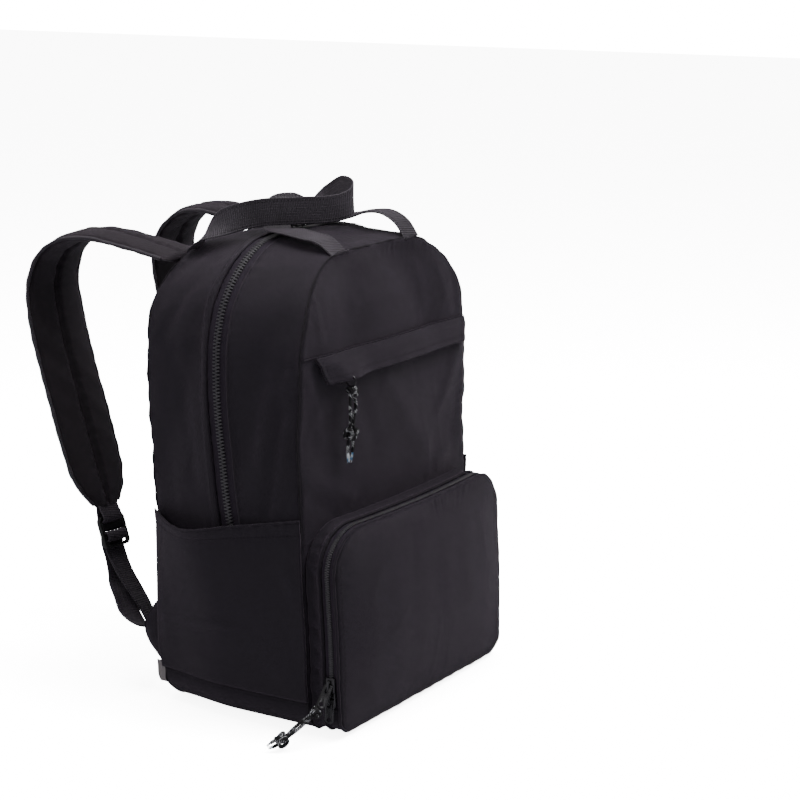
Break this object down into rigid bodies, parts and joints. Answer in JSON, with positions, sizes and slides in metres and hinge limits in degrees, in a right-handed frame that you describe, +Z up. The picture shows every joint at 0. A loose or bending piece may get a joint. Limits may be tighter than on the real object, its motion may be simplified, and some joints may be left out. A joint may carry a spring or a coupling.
{
  "type": "packable backpack",
  "caption": "Soft lightweight daypack with an arched zip over the top, zipped front pocket, flap over a front zip, open side pockets, carrying handles and padded straps.",
  "frame": {"origin": "on the floor, on the underside of the base panel, under the middle of the main body", "axes": "+Z up, -Y to the front with the front pocket, +Y to the back with the shoulder straps, +X to the wearer's right"},
  "size_m": [0.3539, 0.3714, 0.473],
  "materials": {
    "nylon": "plain-woven near-black nylon with a soft sheen",
    "strap": "padded near-black nylon",
    "webbing": "ribbed dark grey webbing",
    "zip": "woven zip tape with dark grey teeth",
    "slider": "dark gunmetal",
    "buckle": "satin black",
    "cord": "braided black cord with white flecks",
    "label": "blank grey tab"
  },
  "bodies": {
    "bag": {"front_panel": "nylon", "back_panel": "nylon", "base_panel": "nylon", "top_band_front": "nylon", "top_band_rear": "nylon", "main_zip": "zip", "side_panel_left": "nylon", "side_panel_right": "nylon", "side_pocket_left": "nylon", "side_pocket_right": "nylon", "pocket_front": "nylon", "pocket_gusset": "nylon", "pocket_zip": "zip", "pocket_base": "nylon", "front_flap": "nylon", "flap_zip": "zip", "strap_left": "strap", "strap_right": "strap", "keeper_left": "webbing", "keeper_right": "webbing", "buckle_left": "buckle", "buckle_right": "buckle", "adjuster_left": "webbing", "adjuster_right": "webbing", "wing_left": "nylon", "wing_right": "nylon", "label_tab": "label", "handle_front": "webbing", "handle_rear": "webbing", "main_slider": "slider", "flap_slider": "slider", "flap_ring": "slider", "pocket_slider_first": "slider", "pocket_pull_first": "slider", "pocket_slider_second": "slider", "flap_cord_hitch": "cord", "flap_cord_strand_1": "cord", "flap_cord_strand_2": "cord", "flap_cord_end": "cord", "pocket_cord_hitch": "cord", "pocket_cord_strand_1": "cord", "pocket_cord_strand_2": "cord", "pocket_cord_end": "cord"},
    "main_pull": {"main_pull": "slider"},
    "pocket_pull": {"pocket_pull_second": "slider"}
  },
  "joints": [
    {"name": "main_pull_hinge", "type": "hinge", "parent": "bag", "child": "main_pull", "pos_m": [-0.01824, 0.00348, 0.43404], "axis": [0, -1, 0], "range_deg": [0, 90]},
    {"name": "pocket_pull_hinge", "type": "hinge", "parent": "bag", "child": "pocket_pull", "pos_m": [-0.13739, -0.11223, 0.039], "axis": [0, 0.9995, -0.0309], "range_deg": [0, 40]}
  ]
}
